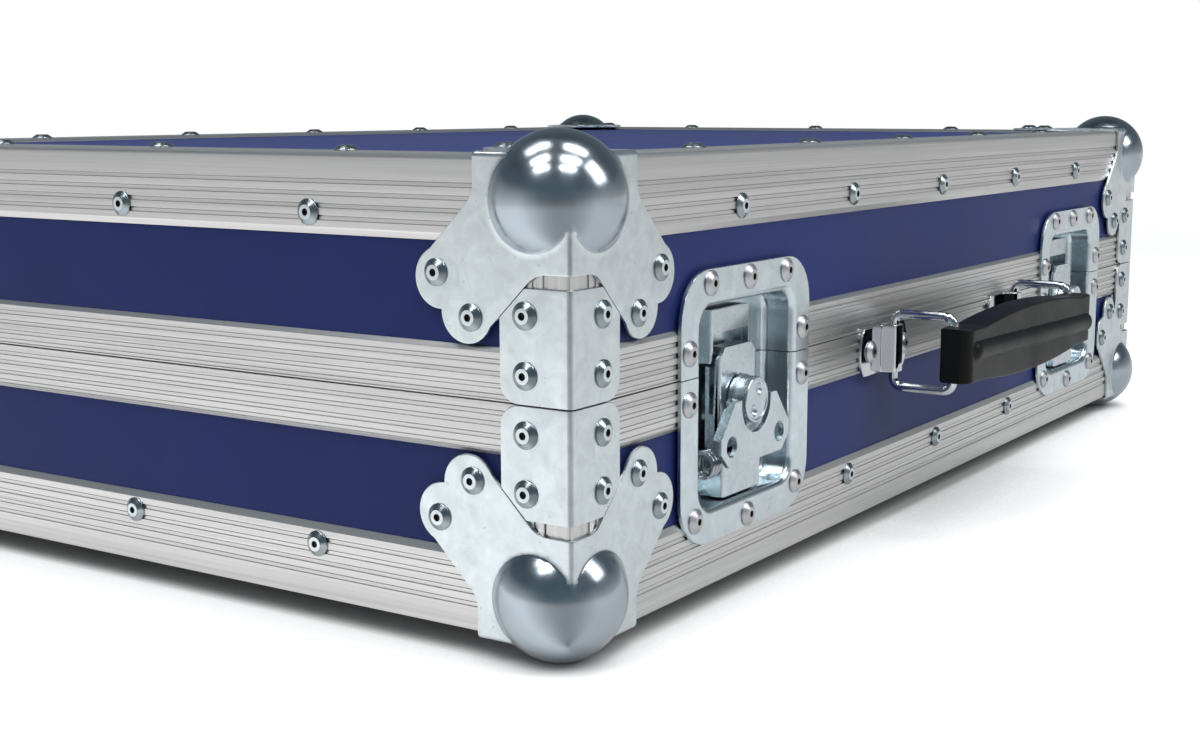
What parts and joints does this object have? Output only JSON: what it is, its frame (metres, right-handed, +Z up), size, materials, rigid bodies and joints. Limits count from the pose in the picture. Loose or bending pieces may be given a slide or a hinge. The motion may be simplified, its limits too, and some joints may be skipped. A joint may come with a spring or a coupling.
{
  "type": "lighting console flight case",
  "caption": "Blue laminated flight case in aluminium extrusions, with ball corners, recessed butterfly latches, a swinging front handle and a hinged lid.",
  "frame": {"origin": "bottom centre of the closed case's bounding box, on the plane under the four lower balls", "axes": "+Z up, the front with latches and handle faces -Y, +X along the front to the right as seen from it"},
  "size_m": [0.6684, 0.4928, 0.1886],
  "materials": {
    "laminate": "blue phenolic laminate on birch plywood, satin with a fine grain",
    "anodised_aluminium": "anodised extrusion with lengthwise streaks",
    "rivet_aluminium": "satin pop rivets",
    "zinc_steel": "bright zinc plate, bluish and slightly cloudy",
    "chrome": "polished nickel and chrome plate",
    "grip_plastic": "black moulded plastic, satin",
    "foam": "dark grey open-cell foam"
  },
  "bodies": {
    "base": {"base_bottom_panel": "laminate", "base_front_panel": "laminate", "base_back_panel": "laminate", "base_left_panel": "laminate", "base_right_panel": "laminate", "base_front_angle": "anodised_aluminium", "base_back_angle": "anodised_aluminium", "base_left_angle": "anodised_aluminium", "base_right_angle": "anodised_aluminium", "base_corner_angles": "anodised_aluminium", "base_groove_profile": "anodised_aluminium", "base_ball_corners": "zinc_steel", "base_corner_braces": "zinc_steel", "base_rivets": "rivet_aluminium", "base_latch_rivets": "rivet_aluminium", "base_foam": "foam", "lower_latch_dishes": "zinc_steel", "latch_channels": "zinc_steel", "latch_springs": "chrome", "handle_plates": "chrome", "handle_rivets": "rivet_aluminium", "hinge_base_leaves": "zinc_steel", "hinge_pins": "chrome"},
    "lid": {"lid_top_panel": "laminate", "lid_front_panel": "laminate", "lid_back_panel": "laminate", "lid_left_panel": "laminate", "lid_right_panel": "laminate", "lid_front_angle": "anodised_aluminium", "lid_back_angle": "anodised_aluminium", "lid_left_angle": "anodised_aluminium", "lid_right_angle": "anodised_aluminium", "lid_corner_angles": "anodised_aluminium", "lid_tongue_profile": "anodised_aluminium", "lid_ball_corners": "zinc_steel", "lid_corner_braces": "zinc_steel", "lid_rivets": "rivet_aluminium", "lid_latch_rivets": "rivet_aluminium", "lid_foam": "foam", "upper_latch_dishes": "zinc_steel", "latch_keepers": "zinc_steel", "hinge_lid_leaves": "zinc_steel"},
    "left_spindle": {"left_spindle": "zinc_steel", "left_wing_pin": "chrome"},
    "left_wing": {"left_wing": "zinc_steel"},
    "left_slider": {"left_slider": "zinc_steel"},
    "left_hook": {"left_hook": "zinc_steel"},
    "right_spindle": {"right_spindle": "zinc_steel", "right_wing_pin": "chrome"},
    "right_wing": {"right_wing": "zinc_steel"},
    "right_slider": {"right_slider": "zinc_steel"},
    "right_hook": {"right_hook": "zinc_steel"},
    "left_ring": {"left_ring": "chrome"},
    "right_ring": {"right_ring": "chrome"},
    "grip": {"handle_grip": "grip_plastic"}
  },
  "joints": [
    {"name": "lid_hinge", "type": "hinge", "parent": "base", "child": "lid", "pos_m": [0, 0.2414, 0.0943], "axis": [-1, 0, 0], "range_deg": [0, 100]},
    {"name": "left_spindle_turn", "type": "hinge", "parent": "base", "child": "left_spindle", "pos_m": [-0.2012, -0.1989, 0.0803], "axis": [0, -1, 0], "range_deg": [0, 180]},
    {"name": "left_wing_fold", "type": "hinge", "parent": "left_spindle", "child": "left_wing", "pos_m": [-0.2012, -0.1999, 0.0803], "axis": [-1, 0, 0], "range_deg": [0, 90]},
    {"name": "left_slider_lift", "type": "slide", "parent": "base", "child": "left_slider", "axis": [0, 0, 1], "range_m": [0, 0.005]},
    {"name": "left_hook_tip", "type": "hinge", "parent": "left_slider", "child": "left_hook", "pos_m": [-0.2012, -0.1919, 0.0683], "axis": [1, 0, 0], "range_deg": [0, 8]},
    {"name": "right_spindle_turn", "type": "hinge", "parent": "base", "child": "right_spindle", "pos_m": [0.2012, -0.1989, 0.0803], "axis": [0, -1, 0], "range_deg": [0, 180]},
    {"name": "right_wing_fold", "type": "hinge", "parent": "right_spindle", "child": "right_wing", "pos_m": [0.2012, -0.1999, 0.0803], "axis": [-1, 0, 0], "range_deg": [0, 90]},
    {"name": "right_slider_lift", "type": "slide", "parent": "base", "child": "right_slider", "axis": [0, 0, 1], "range_m": [0, 0.005]},
    {"name": "right_hook_tip", "type": "hinge", "parent": "right_slider", "child": "right_hook", "pos_m": [0.2012, -0.1919, 0.0683], "axis": [1, 0, 0], "range_deg": [0, 8]},
    {"name": "left_ring_swing", "type": "hinge", "parent": "base", "child": "left_ring", "pos_m": [-0.0665, -0.2039, 0.0838], "axis": [0, 0, 1], "range_deg": [-70, 70]},
    {"name": "right_ring_swing", "type": "hinge", "parent": "base", "child": "right_ring", "pos_m": [0.0935, -0.2039, 0.0838], "axis": [0, 0, 1], "range_deg": [-70, 70]},
    {"name": "grip_swing", "type": "hinge", "parent": "left_ring", "child": "grip", "pos_m": [-0.0665, -0.2329, 0.0838], "axis": [0, 0, 1], "range_deg": [-70, 70]}
  ],
  "couplings": [
    {"joint": "left_slider_lift", "follows": "left_spindle_turn", "m_per_rad": 0.0015915},
    {"joint": "left_hook_tip", "follows": "left_spindle_turn", "ratio": 0.044444},
    {"joint": "right_slider_lift", "follows": "right_spindle_turn", "m_per_rad": 0.0015915},
    {"joint": "right_hook_tip", "follows": "right_spindle_turn", "ratio": 0.044444},
    {"joint": "right_ring_swing", "follows": "left_ring_swing", "ratio": 1},
    {"joint": "grip_swing", "follows": "left_ring_swing", "ratio": -1}
  ]
}
